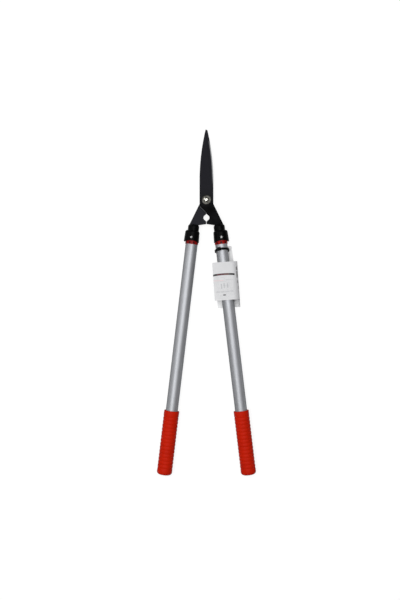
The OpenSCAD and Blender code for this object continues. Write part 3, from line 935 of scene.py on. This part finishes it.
# What is printed on the card: middle x and z, half width, half height, bow, colour, strength
cardMarks = [
    (-4.2, -14.2, 25.4, 2.2, 1.7, (0.004, 0.002, 0.002), 0.98),
    (-6.8, -15.4, 13.0, 1.7, 0.5, (0.1, 0.01, 0.022), 0.85),
    (2.7, -15.6, 6.0, 1.3, 0.2, (0.14, 0.07, 0.05), 0.7),
    (-16.6, -1.8, 11.6, 1.0, 0.0, (0.75, 0.5, 0.52), 0.5),
    (8.0, -2.6, 9.0, 1.0, 0.0, (0.4, 0.41, 0.42), 0.35),
    (-10.9, 11.7, 1.1, 5.6, 0.0, (0.32, 0.33, 0.34), 0.6),
    (-4.6, 10.2, 1.1, 5.6, 0.0, (0.32, 0.33, 0.34), 0.6),
    (3.4, 11.0, 1.1, 5.2, 0.0, (0.32, 0.33, 0.34), 0.6),
    (-19.5, 24.4, 4.0, 1.6, 0.0, (0.4, 0.4, 0.42), 0.5),
    (-9.5, 24.6, 4.4, 1.6, 0.0, (0.4, 0.4, 0.42), 0.5),
    (2.0, 24.6, 5.0, 1.6, 0.0, (0.4, 0.4, 0.42), 0.45),
    (12.5, 24.6, 3.6, 1.6, 0.0, (0.4, 0.4, 0.42), 0.4),
    (-5.2, 32.2, 3.2, 1.4, 0.0, (0.03, 0.03, 0.032), 0.9),
    (26.6, -27.4, 1.4, 4.0, 0.0, (0.06, 0.06, 0.06), 0.85),
    (26.8, -13.5, 1.4, 7.4, 0.0, (0.06, 0.06, 0.06), 0.8),
    (27.0, 3.6, 1.2, 3.2, 0.0, (0.2, 0.2, 0.2), 0.7),
    (28.0, 17.0, 1.0, 3.6, 0.0, (0.2, 0.2, 0.2), 0.6),
]
# and the block of rows too small to read
smallPrint = {"X": -2.0, "Z": 14.0, "Wide": 22.0, "Tall": 26.0, "Soft": 3.0}
rowPitch = 3.2


def cardPrint():
    finish = Finish("cardPrint", {"Specular IOR Level": 0.3}, tagAxes)
    finish.grain(900.0, 0.36, 0.5, 0.02 * mm, 0.6)
    local = addNode(finish.tree, "VectorMath", {0: finish.where, 3: 1 / mm}, operation="SCALE").outputs[0]
    soil = useGroup(finish.tree, handling, {"Vector": finish.where, "Scale": 35.0, "Amount": 0.5})
    face = mixColour(finish.tree, soil["Mask"], rgb(0.625, 0.626, 0.637), rgb(0.57, 0.571, 0.582))
    spot = addNode(finish.tree, "SeparateXYZ", {0: local}).outputs
    rearLeafPaintedLight = calc(finish.tree, "LESS_THAN", spot["Y"], 0.0)
    colour = mixColour(finish.tree, rearLeafPaintedLight, face, rgb(0.8, 0.803, 0.81))  # the rear leaf: bare card, and painted lighter than the face to lift the shade it lies in
    for x, z, wide, tall, bow, ink, strength in cardMarks:
        inputs = {"Vector": local, "X": x, "Z": z, "Wide": wide, "Tall": tall, "Bow": bow, "Soft": 0.8}
        bar = useGroup(finish.tree, printBar, inputs)
        share = calc(finish.tree, "MULTIPLY", bar["Mask"], strength)
        colour = mixColour(finish.tree, share, colour, rgb(*ink))
    rows = calc(finish.tree, "SINE", calc(finish.tree, "MULTIPLY", spot["Z"], tau / rowPitch))
    specks = addNode(finish.tree, "TexNoise", {"Vector": local, "Scale": 0.42, "Detail": 1.0}).outputs[0]
    block = useGroup(finish.tree, printBar, {"Vector": local, **smallPrint})
    share = calc(finish.tree, "MULTIPLY", spread(finish.tree, rows, 0.0, 0.6, 0.0, 1.0),
                 spread(finish.tree, specks, 0.5, 0.56, 0.0, 0.3))
    share = calc(finish.tree, "MULTIPLY", share, block["Mask"])
    finish.feed("Base Color", mixColour(finish.tree, share, colour, rgb(0.3, 0.3, 0.31)))
    return finish.material


def makeTag():
    top, foot = -tag["length"] / 2, tag["length"] / 2
    fold, bend, left = tag["fold"], tag["bend"], tag["tabLeft"]
    near = 0.001 * mm
    section = [(x, bend) for x in (-tag["left"], *tag["cuts"])]
    section += corner(fold, 0, bend, 90, -90, tag["bendSteps"])
    section += [(x, -bend) for x in (0, -left, -tag["rearLeft"])]
    piece = drawLine("hangTag", [(x, y, top) for x, y in section])
    bpy.ops.mesh.select_all(action="SELECT")
    for row in range(tag["rows"]):
        step = (0, 0, tag["length"] / tag["rows"] * mm)
        bpy.ops.mesh.extrude_edges_move(TRANSFORM_OT_translate={"value": step})
    # the rear leaf is longer at the foot, and the tab goes up from its head
    pickEdges(piece, lambda a, b: min(a.z, b.z) > foot * mm - near and max(a.y, b.y) < near)
    bpy.ops.mesh.extrude_edges_move(TRANSFORM_OT_translate={"value": (0, 0, tag["rearFoot"] * mm)})

    def underTab(a, b):
        inside = min(a.x, b.x) > -left * mm - near and max(a.x, b.x) < fold * mm + near
        return inside and max(a.y, b.y) < -bend * mm + near and max(a.z, b.z) < top * mm + near

    pickEdges(piece, underTab)
    bpy.ops.mesh.extrude_edges_move(TRANSFORM_OT_translate={"value": (0, 0, -tag["tab"] * mm)})

    def besideTab(a, b):
        return min(a.x, b.x) > fold * mm - near and min(a.z, b.z) < top * mm - near

    pickEdges(piece, besideTab)
    step = ((tag["tabRight"] - fold) * mm, 0, 0)
    bpy.ops.mesh.extrude_edges_move(TRANSFORM_OT_translate={"value": step})
    # and it narrows towards its head
    tabHead = (top - tag["tab"]) * mm + near
    pickEdges(piece, lambda a, b: max(a.z, b.z) < tabHead and max(a.x, b.x) > fold * mm + near)
    bpy.ops.transform.translate(value=(-tag["tabTaper"] * mm, 0, 0))
    # the free edge of the front leaf droops a little
    pickEdges(piece, lambda a, b: max(a.x, b.x) < -tag["left"] * mm + near and min(a.y, b.y) > 0)
    bpy.ops.transform.translate(value=(0, -tag["droop"] * mm, 0), use_proportional_edit=True,
                                proportional_edit_falloff="SMOOTH", proportional_size=tag["droopReach"] * mm)
    bpy.ops.mesh.select_all(action="SELECT")
    bpy.ops.mesh.normals_make_consistent(inside=False)
    closeEdit()
    modify(piece, "SOLIDIFY", thickness=tag["card"] * mm, offset=0)
    place(piece, tagAxes)
    for side in (-1, 1):
        clearAll()
        bpy.ops.mesh.primitive_cube_add(size=1)
        slit = bpy.context.object
        middle = Matrix.Translation((side * tag["slitX"] * mm, -bend * mm, tag["slitAt"] * mm))
        place(slit, rightHandle @ middle @ Matrix.Diagonal([n * mm for n in tag["slit"]] + [1]))
        carve(piece, slit)
    finishPiece(piece, "hang_tag", cardPrint(), 40)


makeTag()
print("tie and tag made")

# Pieces inside the joint and the tubes keep their solids
plugNylon = innerFinish("plugNylon", (0.6, 0.585, 0.52), 0.0, 0.4, 0.5)
hidden = {
    "pivot_bush": innerFinish("bushBronze", (0.42, 0.26, 0.1), 1.0, 0.3, 0.42),
    "spacer_washer": innerFinish("spacerNylon", (0.62, 0.61, 0.56), 0.0, 0.4, 0.52),
    "nut_insert": innerFinish("insertNylon", (0.62, 0.61, 0.56), 0.0, 0.34, 0.46),
    "left_tang_plug": plugNylon,
    "right_tang_plug": plugNylon,
}
for node, material in hidden.items():
    solid = frame["nodes"][node]
    if solid.material_slots:
        solid.material_slots[0].material = material
    else:
        solid.data.materials.append(material)
